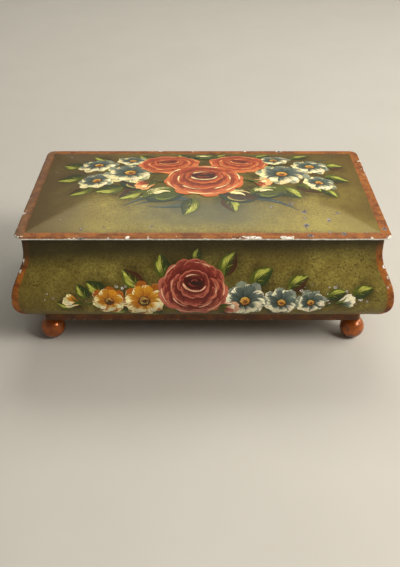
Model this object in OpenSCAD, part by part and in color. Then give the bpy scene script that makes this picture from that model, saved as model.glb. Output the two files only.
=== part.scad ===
// Small tin trunk: bombe body on ball feet, with a hipped lid on two rear hinges.
// Millimetres, +Z up, front towards -Y, origin on the floor under the middle.

/* [Lid] */
// Width of the lid over its rolled edge
lid_w = 200; // [150:1:260]
// Depth of the lid over its rolled edge
lid_d = 113; // [90:1:150]
// Corner radius of the lid's outline
lid_corner_r = 5; // [3:0.5:9]
// Height that the lid rises above its flat margin
lid_rise = 5.5; // [3:0.5:10]
// Depth of the level crown along the middle of the lid
lid_crown_d = 8; // [4:1:16]
// Flat margin that shows inside the line of the walls
margin_past_wall = 0.1; // [0.1:0.1:2]
// Radius of the wire in the lid's rolled edge
rim_wire_r = 0.4; // [0.3:0.05:0.8]

/* [Body] */
// Thickness of the tin sheet
sheet_t = 0.45; // [0.3:0.05:0.6]
// How far the belly stands out past the lid's edge
belly_out = 4.7; // [1:0.1:10]
// Radius of the belly above its widest line
belly_r = 29; // [15:0.5:45]
// Radius of the hollow below the neck
neck_r = 25; // [10:0.5:40]
// Straight slope between the hollow and the belly
flare_l = 6.3; // [1:0.1:15]
// Straight height of the neck
neck_h = 9.1; // [8.8:0.1:20]
// Depth of the folded hem inside the mouth
hem_h = 4.5; // [2:0.5:7]

/* [Base] */
// How far the plinth stands back from the lid's edge
plinth_inset = 8.9; // [6:0.1:14]
// Height of the plinth band
plinth_h = 7.4; // [4:0.1:12]
// Corner radius of the plinth band
plinth_corner_r = 2; // [1:0.5:4]
// Width of the wall's flange over the plinth
flange_w = 3; // [1.5:0.5:5]

/* [Feet] */
// Diameter of a ball foot
foot_d = 14; // [10:0.5:20]
// Distance from the plinth's faces in to the middle of a foot
foot_inset = 3.5; // [3.2:0.1:8]
// Height of the ball lost to the worn flat that it stands on
foot_flat = 0.1; // [0.05:0.05:0.4]
// Height of the ball lost to its seat under the base plate
foot_seat = 0.5; // [0.3:0.1:1.2]
// Radius of a foot screw's shank
screw_r = 1.1; // [0.8:0.1:1.5]
// Length of a foot screw under its head
screw_l = 9; // [6:0.5:9.5]
// Radius of a foot screw's head
screw_head_r = 2.4; // [2:0.1:3]
// Height of a foot screw's head
screw_head_h = 1.5; // [1:0.1:2.5]
// Width of a foot screw's slot
screw_slot_w = 0.6; // [0.4:0.1:1]

/* [Hinges] */
// Distance of a hinge from the middle of the back
hinge_x = 55; // [25:1:60]
// Length of a hinge
hinge_w = 24; // [18:1:36]
// Radius of a hinge pin
pin_r = 0.5; // [0.35:0.05:0.6]
// Thickness of a hinge leaf
leaf_t = 0.35; // [0.25:0.05:0.4]
// Height of a body leaf below the pin
body_leaf_h = 6.5; // [4:0.5:6.5]
// Length of a lid leaf inside the box
lid_leaf_l = 9; // [5:1:16]
// Depth of the pin below the middle of the lid's rolled edge
pin_drop = 0.85; // [0.85:0.05:1.2]

/* [Fits] */
// Radial running clearance of a pin or wire
run_gap = 0.03; // [0.02:0.01:0.06]
// Gap between parts that swing past each other
swing_gap = 0.15; // [0.1:0.05:0.3]
// Gap between the closed lid and the walls
seat_gap = 0.05; // [0.05:0.05:0.2]

/* [Hidden] */
$fn = 64;

// Colours of the finishes
olive = [0.36, 0.33, 0.15];
copper = [0.55, 0.24, 0.09];
tin = [0.62, 0.62, 0.60];
brass = [0.62, 0.50, 0.26];

// Room that a cutting shape reaches past what it cuts
cut = 20;
// Steps of a curved stretch of a wall or of the lid
arc_steps = 12;
crown_steps = 16;

// Radii of the rolled edge and of a hinge's barrel
bead_r = rim_wire_r + run_gap + sheet_t;
knuckle_r = pin_r + run_gap + leaf_t;

// Gap between a barrel and the neck, and distance from the pin to the neck
neck_gap = 0.07;
pin_out = knuckle_r + neck_gap;
// Distance from the pin to the middle of the rolled edge, and the part of it along Y
pin_to_bead = knuckle_r + bead_r + swing_gap;
pin_back = sqrt(pow(pin_to_bead, 2) - pow(pin_drop, 2));
// The neck stands in from the lid's edge by what the hinge needs there
neck_inset = pin_out + pin_back + bead_r;

// Height of the base plate's underside, which a foot's seat meets
base_z = foot_d - foot_flat - foot_seat;
foot_z = foot_d / 2 - foot_flat;
// Widest line of the belly, and the radius that turns it in over the plinth
low_r = belly_out + plinth_inset;
low_z = base_z + plinth_h;
wide_z = low_z + low_r;
// Angle at which the belly and the hollow share a tangent
turn_r = belly_r + neck_r;
turn_len = norm([turn_r, flare_l]);
flare_a = acos((turn_r - belly_out - neck_inset) / turn_len) - atan2(flare_l, turn_r);
neck_z = wide_z + turn_r * sin(flare_a) + flare_l * cos(flare_a);
wall_top = neck_z + neck_h;

// Levels of the lid: underside and top of its margin, and middle of its rolled edge
lid_under = wall_top + seat_gap;
lid_top = lid_under + sheet_t;
// The margin's top lies just under the top of the bead, so that the two surfaces cross
bead_proud = 0.04;
bead_z = lid_top - bead_r + bead_proud;
lid_margin = neck_inset + 2 * sheet_t + margin_past_wall;
// Distance over which the lid rises from its margin to its crown
rise_l = lid_d / 2 - lid_margin - lid_crown_d / 2;

// Pin of a hinge
pin_y = lid_d / 2 - neck_inset + pin_out;
pin_z = bead_z - pin_drop;

// Middles of the feet
foot_x = lid_w / 2 - plinth_inset - foot_inset;
foot_y = lid_d / 2 - plinth_inset - foot_inset;

function arc(c, r, from, to, steps = arc_steps) =
    [for (i = [0:steps]) let (a = from + (to - from) * i / steps) c + r * [cos(a), sin(a)]];

function reversed(list) = [for (i = [len(list) - 1:-1:0]) list[i]];

// Curve of a wall from its flange up to the neck, as [distance past the lid's edge, height],
// for the sheet's outer face (inward = 0) or its inner face (inward = sheet_t)
function wall_curve(inward) = concat(
    [[-plinth_inset - flange_w, low_z + inward]],
    arc([-plinth_inset, wide_z], low_r - inward, -90, 0),
    arc([belly_out - belly_r, wide_z], belly_r - inward, 0, flare_a),
    arc([neck_r - neck_inset, neck_z], neck_r + inward, 180 + flare_a, 180)
);

// Closed outline of a wall, with the folded hem inside its mouth
function wall_outline() = concat(
    wall_curve(0),
    [
        [-neck_inset, wall_top],
        [-neck_inset - 2 * sheet_t, wall_top],
        [-neck_inset - 2 * sheet_t, wall_top - hem_h],
        [-neck_inset - sheet_t, wall_top - hem_h]
    ],
    reversed(wall_curve(sheet_t))
);

// Height of the lid's surface over its margin, at a distance in from the margin
function rise_at(s) =
    s <= 0 ? 0 : s >= rise_l ? lid_rise : lid_rise * (1 - pow(1 - s / rise_l, 2));

// Half of the lid's section, from the crown's middle out to the edge, as [distance, height]
function lid_section(half) = concat(
    [[0, lid_rise]],
    [for (i = [crown_steps:-1:0]) let (s = rise_l * i / crown_steps) [half - lid_margin - s, rise_at(s)]],
    [[half + cut, 0]]
);

function rounded_points(w, d, r) = concat(
    arc([w / 2 - r, d / 2 - r], r, 0, 90),
    arc([r - w / 2, d / 2 - r], r, 90, 180),
    arc([r - w / 2, r - d / 2], r, 180, 270),
    arc([w / 2 - r, r - d / 2], r, 270, 360)
);

// Turns a drawing in [across, up] so that it runs along X, for a length centred on the middle
module along_x(length) {
    translate([-length / 2, 0, 0])
        rotate([90, 0, 90])
            linear_extrude(length)
                children();
}

// One wall of the body, on the front side, mitred to its neighbours
module wall(across, out) {
    intersection() {
        along_x(across + 2 * cut)
            polygon([for (p = wall_outline()) [-out - p[0], p[1]]]);
        linear_extrude(wall_top + cut)
            polygon([
                [-across / 2 - cut, -out - cut],
                [across / 2 + cut, -out - cut],
                [across / 2 - cut, cut - out],
                [cut - across / 2, cut - out]
            ]);
    }
}

module body_front() {
    color(olive) wall(lid_w, lid_d / 2);
}

// The back wall has a notch in its top for each lid leaf
module body_back() {
    notch_w = knuckle_w() + 4 * swing_gap;
    notch_d = leaf_t + swing_gap;
    color(olive)
        difference() {
            rotate([0, 0, 180]) wall(lid_w, lid_d / 2);
            for (side = [-1, 1])
                translate([side * hinge_x - notch_w / 2, lid_d / 2 - lid_margin - cut, wall_top - notch_d])
                    cube([notch_w, 2 * cut, cut]);
        }
}

module body_end(side) {
    color(olive)
        rotate([0, 0, side * 90]) wall(lid_d, lid_w / 2);
}

// Folded band under the body, with the base plate soldered inside it
module plinth_band() {
    w = lid_w - 2 * plinth_inset;
    d = lid_d - 2 * plinth_inset;
    color(copper)
        translate([0, 0, base_z])
            linear_extrude(plinth_h)
                difference() {
                    polygon(rounded_points(w, d, plinth_corner_r));
                    polygon(rounded_points(w - 2 * sheet_t, d - 2 * sheet_t, plinth_corner_r - sheet_t));
                }
}

module base_plate() {
    w = lid_w - 2 * plinth_inset - 2 * sheet_t;
    d = lid_d - 2 * plinth_inset - 2 * sheet_t;
    color(copper)
        difference() {
            translate([0, 0, base_z])
                linear_extrude(sheet_t)
                    polygon(rounded_points(w, d, plinth_corner_r - sheet_t));
            for (x = [-1, 1])
                for (y = [-1, 1])
                    translate([x * foot_x, y * foot_y, base_z - cut])
                        cylinder(r = screw_r + swing_gap, h = 2 * cut);
        }
}

module ball_foot(x, y) {
    color(copper)
        translate([x * foot_x, y * foot_y, 0])
            difference() {
                translate([0, 0, foot_z]) sphere(r = foot_d / 2);
                translate([-cut, -cut, base_z]) cube([2 * cut, 2 * cut, cut]);
                translate([-cut, -cut, -cut]) cube([2 * cut, 2 * cut, cut]);
                translate([0, 0, base_z + sheet_t - screw_l - run_gap])
                    cylinder(r = screw_r + run_gap, h = cut);
            }
}

// Round-head screw from inside the box down into a foot
module foot_screw(x, y) {
    head_z = base_z + sheet_t;
    slot_depth = screw_head_h / 2;
    color(brass)
        translate([x * foot_x, y * foot_y, head_z])
            difference() {
                rotate_extrude()
                    polygon(concat(
                        [[0, screw_r - screw_l], [screw_r, 2 * screw_r - screw_l], [screw_r, 0], [screw_head_r, 0]],
                        [for (i = [1:arc_steps]) let (a = 90 * i / arc_steps)
                            [screw_head_r * cos(a), screw_head_h * sin(a)]]
                    ));
                translate([-cut, -screw_slot_w / 2, screw_head_h - slot_depth])
                    cube([2 * cut, screw_slot_w, cut]);
            }
}

// Tube or wire of radius r that runs round the lid's edge, in its rolled bead
module rim_ring(r) {
    x = lid_w / 2 - lid_corner_r;
    y = lid_d / 2 - lid_corner_r;
    turn = lid_corner_r - bead_r;
    translate([0, 0, bead_z]) {
        for (side = [-1, 1]) {
            translate([-x, side * (y + turn), 0]) rotate([0, 90, 0]) cylinder(r = r, h = 2 * x);
            translate([side * (x + turn), y, 0]) rotate([90, 0, 0]) cylinder(r = r, h = 2 * y);
        }
        for (i = [0:3]) {
            sx = i == 0 || i == 3 ? 1 : -1;
            sy = i < 2 ? 1 : -1;
            translate([sx * x, sy * y, 0])
                rotate([0, 0, 90 * i])
                    rotate_extrude(angle = 90) translate([turn, 0]) circle(r = r);
        }
    }
}

// Everything under the lid's hipped surface, which is the lower of two barrel forms
module under_lid(top, w, d) {
    intersection() {
        along_x(lid_w + 4 * cut) half_sections(lid_d / 2, top);
        rotate([0, 0, 90]) along_x(lid_d + 4 * cut) half_sections(lid_w / 2, top);
        translate([0, 0, lid_under - cut])
            linear_extrude(2 * cut + lid_rise)
                polygon(rounded_points(w, d, lid_corner_r - bead_r));
    }
}

module half_sections(half, top) {
    right = lid_section(half);
    polygon(concat(
        [for (p = right) [p[0], top + p[1]]],
        [[half + cut, lid_under - cut], [-half - cut, lid_under - cut]],
        [for (p = reversed(right)) [-p[0], top + p[1]]]
    ));
}

module lid_panel() {
    w = lid_w - 2 * bead_r;
    d = lid_d - 2 * bead_r;
    color(olive)
        difference() {
            union() {
                difference() {
                    under_lid(lid_top, w, d);
                    under_lid(lid_under, w + cut, d + cut);
                }
                rim_ring(bead_r);
            }
            rim_ring(bead_r - sheet_t);
        }
}

module lid_rim_wire() {
    color(tin) rim_ring(rim_wire_r);
}

// A hinge has three knuckles: the lid leaf's between the body leaf's two
function knuckle_w() = (hinge_w - 2 * swing_gap) / 3;

module knuckle(x, w) {
    translate([x, pin_y, pin_z]) rotate([0, 90, 0]) cylinder(r = knuckle_r, h = w);
}

module pin_bore() {
    translate([-hinge_w, pin_y, pin_z]) rotate([0, 90, 0]) cylinder(r = pin_r + run_gap, h = 2 * hinge_w);
}

module body_leaf(side) {
    neck_y = pin_y - pin_out;
    middle = knuckle_w() + 2 * swing_gap;
    color(brass)
        translate([side * hinge_x, 0, 0])
            difference() {
                union() {
                    for (end = [-1, 1])
                        knuckle(end * (hinge_w - knuckle_w()) / 2 - knuckle_w() / 2, knuckle_w());
                    translate([-hinge_w / 2, neck_y, pin_z - body_leaf_h])
                        cube([hinge_w, leaf_t, body_leaf_h]);
                }
                pin_bore();
                translate([-middle / 2, neck_y - cut, pin_z - knuckle_r - swing_gap])
                    cube([middle, 2 * cut, cut]);
            }
}

// The lid leaf rises past the neck, crosses the notch and follows the lid's underside
module lid_leaf(side) {
    front_y = pin_y - knuckle_r;
    crease_y = lid_d / 2 - lid_margin;
    tip = [crease_y - lid_leaf_l, lid_under + rise_at(lid_leaf_l)];
    middle = knuckle_w();
    color(brass)
        translate([side * hinge_x, 0, 0])
            difference() {
                union() {
                    knuckle(-middle / 2, middle);
                    along_x(middle)
                        polygon([
                            [front_y, pin_z],
                            [front_y, lid_under - leaf_t],
                            [crease_y, lid_under - leaf_t],
                            [crease_y, lid_under],
                            [front_y + leaf_t, lid_under],
                            [front_y + leaf_t, pin_z]
                        ]);
                    along_x(hinge_w)
                        polygon([
                            [crease_y, lid_under - leaf_t],
                            [crease_y, lid_under],
                            tip,
                            tip - [0, leaf_t]
                        ]);
                }
                pin_bore();
            }
}

module hinge_pin(side) {
    color(tin)
        translate([side * hinge_x - hinge_w / 2, pin_y, pin_z])
            rotate([0, 90, 0])
                cylinder(r = pin_r, h = hinge_w);
}

body_front();
body_back();
body_end(-1);  // body_left_end
body_end(1);  // body_right_end
plinth_band();
base_plate();
ball_foot(-1, -1);  // foot_front_left
ball_foot(1, -1);  // foot_front_right
ball_foot(-1, 1);  // foot_back_left
ball_foot(1, 1);  // foot_back_right
foot_screw(-1, -1);  // screw_front_left
foot_screw(1, -1);  // screw_front_right
foot_screw(-1, 1);  // screw_back_left
foot_screw(1, 1);  // screw_back_right
lid_panel();
lid_rim_wire();
body_leaf(-1);  // hinge_left_body_leaf
lid_leaf(-1);  // hinge_left_lid_leaf
hinge_pin(-1);  // hinge_left_pin
body_leaf(1);  // hinge_right_body_leaf
lid_leaf(1);  // hinge_right_lid_leaf
hinge_pin(1);  // hinge_right_pin
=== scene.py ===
import random
from math import acos, atan2, cos, hypot, pi, radians, sin, sqrt

import bmesh
import bpy
from mathutils import Matrix, Vector, noise
from mathutils.bvhtree import BVHTree


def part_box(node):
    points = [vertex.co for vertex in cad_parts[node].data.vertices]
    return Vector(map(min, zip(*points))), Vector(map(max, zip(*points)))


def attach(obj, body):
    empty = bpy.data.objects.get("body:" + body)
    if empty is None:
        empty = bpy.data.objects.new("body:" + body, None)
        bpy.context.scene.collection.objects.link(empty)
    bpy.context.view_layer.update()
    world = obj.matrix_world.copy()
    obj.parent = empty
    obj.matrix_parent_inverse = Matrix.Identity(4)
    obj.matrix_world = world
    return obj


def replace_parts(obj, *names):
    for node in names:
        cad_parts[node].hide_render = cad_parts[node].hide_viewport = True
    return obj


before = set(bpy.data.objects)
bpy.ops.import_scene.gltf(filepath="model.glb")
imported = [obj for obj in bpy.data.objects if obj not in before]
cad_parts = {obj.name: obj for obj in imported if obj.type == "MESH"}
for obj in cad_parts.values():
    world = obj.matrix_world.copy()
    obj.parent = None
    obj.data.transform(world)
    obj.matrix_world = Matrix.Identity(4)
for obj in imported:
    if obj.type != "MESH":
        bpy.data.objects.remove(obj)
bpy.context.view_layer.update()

MM = 0.001
rng = random.Random(11)

# Sizes of the box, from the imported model, in metres
lid_low, lid_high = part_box("lid_panel")
wall_low, wall_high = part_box("body_front")
plinth_low, plinth_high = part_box("plinth_band")
leaf_low, leaf_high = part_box("hinge_left_body_leaf")

SHEET = 0.45 * MM
BEAD_R = 0.88 * MM
BEAD_PROUD = 0.04 * MM
MARGIN_PAST_WALL = 0.1 * MM
LID_CORNER_R = 5 * MM
LID_CROWN_D = 8 * MM
BELLY_R = 29 * MM
NECK_R = 25 * MM
FLARE_L = 6.3 * MM
HEM_H = 4.5 * MM
FLANGE_W = 3 * MM
SEAM_R = 0.8 * MM
NOTCH_W = 9.6 * MM
NOTCH_H = 0.5 * MM

half_w, half_d = lid_high.x, lid_high.y
neck_inset = half_d - leaf_low.y
belly_out = -wall_low.y - half_d
plinth_inset = half_d - plinth_high.y
wall_foot, wall_top = wall_low.z, wall_high.z
low_r = belly_out + plinth_inset
wide_z = wall_foot + low_r
turn_r = BELLY_R + NECK_R
flare_turn = acos((turn_r - belly_out - neck_inset) / hypot(turn_r, FLARE_L)) - atan2(FLARE_L, turn_r)
neck_z = wide_z + turn_r * sin(flare_turn) + FLARE_L * cos(flare_turn)

bead_z = lid_low.z + BEAD_R
lid_top = bead_z + BEAD_R - BEAD_PROUD
lid_under = lid_top - SHEET
lid_rise = lid_high.z - lid_top
lid_margin = neck_inset + 2 * SHEET + MARGIN_PAST_WALL
hinge_x = (leaf_low.x + leaf_high.x) / -2
rise_l = half_d - lid_margin - LID_CROWN_D / 2

# The places that the finishes read, in millimetres
END_X, BACK_Y = half_w / MM, half_d / MM
PLINTH_Z, FOOT_Z, WIDE_Z = plinth_low.z / MM, wall_foot / MM, wide_z / MM
TOP_Z, BEAD_Z = wall_top / MM, bead_z / MM


# Shader arithmetic

class Shade:
    """A value or colour in a material; arithmetic on values adds Math nodes."""

    def __init__(self, tree, socket=None):
        self.tree = tree
        self.socket = socket

    def feed(self, socket, value):
        """Links a socket to a Shade, or gives it a plain value or colour."""
        if isinstance(value, Shade):
            self.tree.links.new(value.socket, socket)
        else:
            socket.default_value = (*value, 1.0) if socket.type == "RGBA" else value

    def node(self, kind, settings=None, sockets=None, out=0):
        made = self.tree.nodes.new("ShaderNode" + kind)
        for name, value in (settings or {}).items():
            setattr(made, name, value)
        for name, value in (sockets or {}).items():
            self.feed(made.inputs[name], value)
        return Shade(self.tree, made.outputs[out])

    def maths(self, operation, *values):
        return self.node("Math", {"operation": operation}, dict(enumerate(values)))

    def __add__(self, other):
        return self.maths("ADD", self, other)

    def __sub__(self, other):
        return self.maths("SUBTRACT", self, other)

    def __rsub__(self, other):
        return self.maths("SUBTRACT", other, self)

    def __mul__(self, other):
        return self.maths("MULTIPLY", self, other)

    __radd__ = __add__
    __rmul__ = __mul__

    def size(self):
        return self.maths("ABSOLUTE", self)

    def least(self, other):
        return self.maths("MINIMUM", self, other)

    def most(self, other):
        return self.maths("MAXIMUM", self, other)

    def between(self, low, high):
        """0 at or below low, 1 at or above high, smooth between; low may be the larger."""
        sockets = {"Value": self, "From Min": low, "From Max": high}
        return self.node("MapRange", {"interpolation_type": "SMOOTHSTEP"}, sockets)

    def blend(self, low, high):
        """The colour low where this value is 0, and high where it is 1."""
        return self.node("Mix", {"data_type": "RGBA"}, {0: self, 6: low, 7: high}, out=2)

    def tinted(self, other):
        """This colour times another."""
        settings = {"data_type": "RGBA", "blend_type": "MULTIPLY"}
        return self.node("Mix", settings, {0: 1.0, 6: self, 7: other}, out=2)


class Finish(Shade):
    """A material's tree, with the sources that its patterns read, in millimetres."""

    def __init__(self, name):
        self.material = bpy.data.materials.new(name)
        self.material.use_nodes = True
        super().__init__(self.material.node_tree)
        self.place = self.stretched(self.node("TexCoord", out=3), (1 / MM, 1 / MM, 1 / MM))
        self.x, self.y, self.z = (self.node("SeparateXYZ", sockets={0: self.place}, out=i) for i in range(3))

    def stretched(self, vector, factors):
        return self.node("VectorMath", {"operation": "MULTIPLY"}, {0: vector, 1: factors})

    def moved(self, vector, offset):
        return self.node("VectorMath", {"operation": "ADD"}, {0: vector, 1: offset})

    def cloud(self, grain, detail=3.0, rough=0.55, shift=0.0, place=None):
        """Noise from about 0.25 to 0.75, with lumps of that size in millimetres."""
        place = place or self.place
        if shift:
            place = self.moved(place, (shift, shift * 1.7, shift * 0.6))
        sockets = {"Vector": place, "Scale": 1 / grain, "Detail": detail, "Roughness": rough}
        return self.node("TexNoise", sockets=sockets)

    def spots(self, spacing, shift):
        """Distance to scattered points, in spacings, and a number from 0 to 1 that each has to itself."""
        place = self.moved(self.place, (shift, shift, shift))
        away = self.node("TexVoronoi", sockets={"Vector": place, "Scale": 1 / spacing})
        own = self.node("SeparateXYZ", sockets={0: Shade(self.tree, away.socket.node.outputs[1])})
        return away, own

    def attribute(self, name, out):
        return self.node("Attribute", {"attribute_name": name}, out=out)

    def bump(self, height, depth):
        """Relief of that depth in millimetres where height runs from 0 to 1."""
        return self.node("Bump", sockets={"Height": height, "Distance": depth * MM, "Strength": 1.0})

    def done(self, **sockets):
        shader = self.tree.nodes["Principled BSDF"]
        for name, value in sockets.items():
            self.feed(shader.inputs[name.replace("_", " ")], value)
        return self.material


# Paint colours, as linear red, green, blue
OLIVE_DARK = (0.110, 0.076, 0.014)
OLIVE = (0.210, 0.162, 0.030)
OLIVE_PALE = (0.400, 0.350, 0.085)
OLIVE_SHADOW = (0.022, 0.017, 0.005)
# Brown that the olive ground turns towards the lid's ends, back and border, and towards a wall's foot and
# corners
OLIVE_BROWN = (0.090, 0.042, 0.008)
# Dim bluish grey for a painted reflection, with shade, on the middle of the lid's front slope
DIM_SHEEN = (0.088, 0.092, 0.060)
# Cool grey-brown for painted shade, with a cool reflection, on the lid's left end
COOL_SHADE = (0.094, 0.072, 0.046)
SPECK = (0.024, 0.017, 0.006)
COPPER = (0.270, 0.080, 0.009)
COPPER_DARK = (0.130, 0.031, 0.004)
COPPER_BRIGHT = (0.450, 0.175, 0.024)
BALL_COPPER = (0.360, 0.088, 0.010)
BALL_BROWN = (0.095, 0.017, 0.003)
BALL_BRIGHT = (0.600, 0.220, 0.040)
BARE_WOOD = (0.300, 0.200, 0.100)
PRIMER = (0.950, 0.940, 0.910)
PRIMER_STAINED = (0.600, 0.570, 0.500)
BARE_TIN = (0.060, 0.048, 0.062)
RUST = (0.055, 0.034, 0.020)
LACQUER_DEEP = (0.240, 0.160, 0.065)
LACQUER = (0.360, 0.260, 0.115)
STREAK_DARK = (0.680, 0.660, 0.640)
STREAK_LIGHT = (1.140, 1.120, 1.080)

# Shine of the olive paint, and how it is varnished
OLIVE_METAL = 0.34
GLOSS = 0.28
VARNISH = {"Specular_IOR_Level": GLOSS, "Coat_Weight": 0.08, "Coat_Roughness": 0.25}
RELIEF = 0.05

# Widths of the copper borders, in millimetres, and of their soft edges
LID_BORDER = 5.3
WALL_BORDER = 3.6
HEM_BORDER = 1.7
LID_SOFT = 0.2
WALL_SOFT = 0.3
HEM_SOFT = 0.5


# Each between() below says where a zone starts and where it is full, in millimetres or as a level of noise

def olive_ground(paint):
    """Sponged olive paint with bronze powder in it; returns its colour and its grain."""
    broad = paint.cloud(38, 3, 0.5).between(0.34, 0.66)
    mottled = paint.cloud(9, 4, 0.6, shift=40).between(0.28, 0.72)
    sponge = paint.cloud(1.3, 4, 0.8, shift=90).between(0.36, 0.64)
    ground = (broad * 0.38 + mottled * 0.22 + sponge * 0.40).blend(OLIVE_DARK, OLIVE)
    ground = (sponge * (0.18 + mottled * broad * 0.65)).blend(ground, OLIVE_PALE)
    clusters = paint.cloud(13, 2, 0.5, shift=7).between(0.42, 0.62)
    specks = paint.cloud(1.1, 2, 0.5, shift=15).between(0.59, 0.67) * (0.26 + clusters * 0.50)
    return specks.blend(ground, SPECK), sponge


def glazed_ground(paint):
    """The olive ground under the dark glaze round its flowers; returns its colour and its grain."""
    ground, grain = olive_ground(paint)
    uneven = 0.55 + paint.cloud(7, 3, 0.6, shift=3).between(0.3, 0.7) * 0.6
    return (paint.attribute("shadow", 2) * uneven).blend(ground, OLIVE_SHADOW), grain


def copper_band(paint):
    """Copper-brown border paint, brushed on unevenly."""
    uneven = paint.cloud(5, 4, 0.6, shift=23).between(0.3, 0.7)
    fine = paint.cloud(0.8, 3, 0.6, shift=61).between(0.35, 0.7)
    band = uneven.blend(COPPER_DARK, COPPER)
    return (fine * uneven * 0.6).blend(band, COPPER_BRIGHT)


def ragged(paint):
    """Two patterns that tear the outlines of chips, a coarse one and a fine one, about 0."""
    return paint.cloud(1.7, 4, 0.65, shift=12) - 0.5, paint.cloud(0.8, 3, 0.6, shift=38) - 0.5


def chipped(paint, base, chips, cores, rims):
    """Base with dark rims round its chips, white primer in them, and dull tin at their cores."""
    worn = paint.cloud(2.2, 3, 0.6, shift=77).between(0.36, 0.60).blend(PRIMER, PRIMER_STAINED)
    lost = cores.blend(worn, BARE_TIN)
    return chips.blend((rims * 0.7).blend(base, RUST), lost)


def varnished(paint, colours, grain, border, wear):
    """Finish of an olive face with its copper border and its wear."""
    chips = wear[0]
    relief = paint.bump(grain * 0.4 + paint.cloud(2.5, 3, 0.5, shift=5) * 0.6 - chips, RELIEF)
    return paint.done(Base_Color=chipped(paint, colours, *wear),
                      Metallic=(1 - border) * (1 - chips) * OLIVE_METAL,
                      Roughness=0.38 + 0.14 * grain + 0.12 * border, Normal=relief, **VARNISH)


def lid_wear(paint, inset):
    """Chips, cores and rims of the lid: its front lip and corners, knocks near its edge, and pits."""
    torn, frayed = ragged(paint)
    drift = paint.cloud(6, 3, 0.6, shift=45)
    bared = paint.cloud(16, 2, 0.5, shift=83).between(0.50, 0.56)
    bared = bared.most(paint.y.between(6 - BACK_Y, 3 - BACK_Y))
    climb = drift.between(0.55, 0.66) * 0.75 + torn * 0.35
    lip = bared * (paint.z - BEAD_Z - climb).between(0.36, 0.24) * inset.between(2.2, 1.8)
    corner = paint.x.size().between(END_X - 5, END_X - 1.5) * paint.y.between(5 - BACK_Y, 1.5 - BACK_Y)
    tip = (corner * inset.between(2.6, 1.0) + torn).between(0.42, 0.52)
    lip = lip.most(tip)

    knocks, knock_luck = paint.spots(11, shift=3.0)
    knocks = knocks + torn * 0.35 + knock_luck.between(0.7, 0.5)
    outer = inset.between(2.6, 1.8)
    pits, pit_luck = paint.spots(6, shift=5.0)
    used = paint.x.between(20, 60) * paint.y.between(-22, -34)
    used = used.most(paint.cloud(26, 1, 0.5, shift=23).between(0.60, 0.66))
    pits = pits + torn * 0.45 + frayed * 0.40 + (pit_luck - used * 0.30).between(0.0, 0.08)

    chips = lip.most(knocks.between(0.20, 0.17) * outer).most(pits.between(0.24, 0.21))
    cores = (knocks.between(0.12, 0.09) * outer).most(pits.between(0.215, 0.19))
    cores = cores.most(tip * drift.between(0.50, 0.42))
    rims = lip.most(knocks.between(0.26, 0.20) * outer * 0.8).most(pits.between(0.34, 0.24))
    return chips, cores, rims


def lid_paint():
    paint = Finish("lid_paint")
    inset = (END_X - paint.x.size()).least(BACK_Y - paint.y.size())
    wobble = (paint.cloud(9, 2, 0.5, shift=31) - 0.5) * 1.5
    border = (inset + wobble).between(LID_BORDER + LID_SOFT, LID_BORDER - LID_SOFT)
    ground, grain = glazed_ground(paint)
    aside = paint.x.size()
    # Browner towards the lid's ends, its back and its border
    ends_and_back = aside.between(45, 100) * 0.45 + paint.y.between(10, 50) * 0.3
    browned = (ends_and_back * (0.4 + grain)).most((inset + wobble * 2).between(9, 5.2) * 0.4)
    # Painted sheen: a pale olive glow towards both sides of the lid's front slope, short of its far left end
    painted_front_glow = paint.y.between(-28, -47) * aside.between(15, 60) * paint.x.between(-100, -70)
    # Painted reflection: a patchy, dim bluish-grey sheen darkens the middle of the lid's front slope
    painted_dim_sheen = aside.between(62, 8) * paint.y.between(-14, -30) * paint.y.between(-55, -38)
    sheen_patchiness = 0.55 + paint.cloud(12, 3, 0.5, shift=21) * 0.5
    ground = (painted_front_glow * (0.18 + grain * 0.30)).blend(ground, OLIVE_PALE)
    ground = (painted_dim_sheen * sheen_patchiness).blend(ground, DIM_SHEEN)
    # Painted shade with a cool reflection on the lid's left end
    ground = (paint.x.between(-50, -78) * 0.55).blend(ground, COOL_SHADE)
    colours = border.blend(browned.blend(ground, OLIVE_BROWN), copper_band(paint))
    # The far left of the border is darkened the same way: painted shade
    colours = (border * paint.x.between(-90, -98) * 0.55).blend(colours, COOL_SHADE)
    return varnished(paint, colours, grain, border, lid_wear(paint, inset))


def wall_wear(paint, corner):
    """Chips, cores and rims of a wall: knocks along its seams, and a belt of pits over its widest line."""
    torn, frayed = ragged(paint)
    knocks = paint.spots(4.5, shift=3.0)[0] + torn * 0.5
    outer = corner.between(1.4, 0.7) * paint.cloud(14, 1, 0.5, shift=52).between(0.38, 0.43)
    belt = paint.z.between(WIDE_Z - 1, WIDE_Z + 2) * paint.z.between(WIDE_Z + 12, WIDE_Z + 8)
    front = paint.y.between(4 - BACK_Y, -BACK_Y)
    scuffed = belt * (paint.cloud(24, 1, 0.5, shift=64) + front * 0.15).between(0.58, 0.62)
    pits = paint.spots(3.4, shift=9.0)[0] + torn * 0.5 + frayed * 0.3

    def lost(knock, pit):
        return (knocks.between(*knock) * outer).most(pits.between(*pit) * scuffed)

    chips = lost((0.30, 0.26), (0.27, 0.23))
    return chips, lost((0.14, 0.10), (0.17, 0.14)), lost((0.40, 0.30), (0.36, 0.28))


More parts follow.
